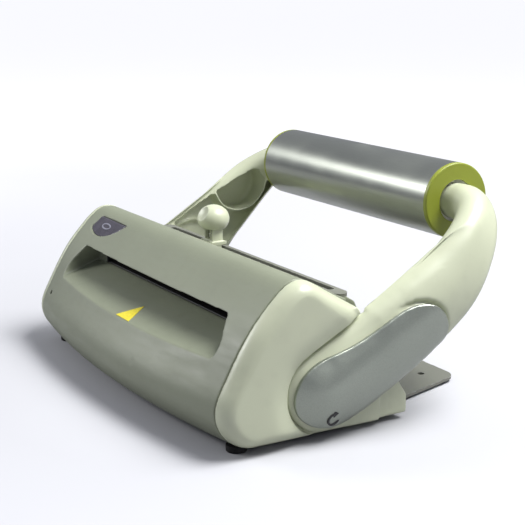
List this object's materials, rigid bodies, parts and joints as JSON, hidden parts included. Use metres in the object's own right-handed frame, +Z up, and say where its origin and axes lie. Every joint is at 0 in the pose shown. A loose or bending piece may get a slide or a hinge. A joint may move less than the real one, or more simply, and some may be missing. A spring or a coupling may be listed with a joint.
{
  "type": "lever bag sealer",
  "caption": "Bench-top lever bag sealer: ramped feed slot in a domed housing, side arms with a round grip bar, sliding cutter with ball knob on a rear rail, steel stabiliser plate.",
  "frame": {"origin": "on the bench, under the middle of the whole machine's box", "axes": "+X to the operator's right along the machine, -Y towards the operator, +Z up"},
  "size_m": [0.3202, 0.235, 0.153],
  "materials": {
    "sage_shell": "fine spark-eroded texture, sage grey-green",
    "cream_shell": "smooth semi-gloss, pale cream with a green cast",
    "silver_paint": "satin silver paint on plastic",
    "satin_aluminium": "satin anodised",
    "lime_plastic": "smooth lime green",
    "olive_steel": "dark olive grey powder coat",
    "black_plastic": "matt black",
    "lens_plastic": "smoked translucent purple grey",
    "pale_mark": "printed mark",
    "dark_mark": "printed mark",
    "yellow_mark": "printed hot-surface triangle without a symbol",
    "foot_rubber": "matt black rubber",
    "silicone": "matt red-brown silicone",
    "zinc_steel": "zinc plated",
    "bright_steel": "ground bright",
    "spring_steel": "drawn wire",
    "nylon": "natural nylon",
    "phenolic": "brown laminate",
    "tan_film": "woven glass with a non-stick coating",
    "copper_and_iron": "laminated core with wound copper",
    "circuit_board": "green laminate with components"
  },
  "bodies": {
    "housing": {"front_cover": "sage_shell", "rear_housing": "sage_shell", "side_cap_left": "cream_shell", "side_cap_right": "cream_shell", "base_tray": "sage_shell", "stabiliser_plate": "olive_steel", "rubber_feet": "foot_rubber", "slot_liner": "black_plastic", "warning_triangle": "yellow_mark", "status_led": "lens_plastic", "power_switch": "black_plastic", "chassis_left": "zinc_steel", "chassis_right": "zinc_steel", "pivot_bushes": "nylon", "heater_beam": "zinc_steel", "heater_insulator": "phenolic", "heater_bar": "satin_aluminium", "heating_rod": "bright_steel", "nonstick_strip": "tan_film", "press_guides": "nylon", "return_springs": "spring_steel", "transformer": "copper_and_iron", "control_board": "circuit_board", "press_microswitch": "black_plastic", "mains_inlet": "black_plastic", "cutter_rail": "olive_steel", "cutter_anvil": "black_plastic", "case_screws": "bright_steel"},
    "handle": {"arm_left": "cream_shell", "arm_right": "cream_shell", "hub_cover_left": "silver_paint", "hub_cover_right": "silver_paint", "arrow_marks": "dark_mark", "pivot_shaft": "bright_steel", "crank_left": "zinc_steel", "crank_right": "zinc_steel", "grip_axle": "bright_steel"},
    "grip": {"grip_tube": "satin_aluminium", "grip_bushes": "nylon", "grip_ring_left": "lime_plastic", "grip_ring_right": "lime_plastic"},
    "press": {"press_legs": "zinc_steel", "press_bar": "satin_aluminium", "press_pad": "silicone"},
    "cutter": {"cutter_carriage": "cream_shell", "cutter_spring": "spring_steel"},
    "cutter_head": {"cutter_knob": "cream_shell", "cutter_blade": "bright_steel"},
    "button": {"power_button": "lens_plastic", "button_mark": "pale_mark"}
  },
  "joints": [
    {"name": "handle_hinge", "type": "hinge", "parent": "housing", "child": "handle", "pos_m": [0, -0.035, 0.031], "axis": [1, 0, 0], "range_deg": [-22, 0], "stiffness_Nm_per_rad": 2, "springref_deg": 40.11},
    {"name": "grip_spin", "type": "hinge", "parent": "handle", "child": "grip", "pos_m": [0, 0.0925, 0.128], "axis": [1, 0, 0], "continuous": true},
    {"name": "press_slide", "type": "slide", "parent": "housing", "child": "press", "axis": [0, 0, 1], "range_m": [-0.0055, 0]},
    {"name": "cutter_slide", "type": "slide", "parent": "housing", "child": "cutter", "axis": [1, 0, 0], "range_m": [-0.056, 0.144]},
    {"name": "cutter_press", "type": "slide", "parent": "cutter", "child": "cutter_head", "axis": [0, 0, 1], "range_m": [-0.0048, 0], "stiffness_N_per_m": 300, "springref_m": 0.004, "deforming": ["cutter_spring"]},
    {"name": "button_press", "type": "slide", "parent": "housing", "child": "button", "axis": [0, 0.7403, -0.6723], "range_m": [0, 0.0015], "stiffness_N_per_m": 800, "springref_m": -0.001}
  ],
  "couplings": [
    {"joint": "press_slide", "follows": "handle_hinge", "m_per_rad": 0.01432}
  ]
}
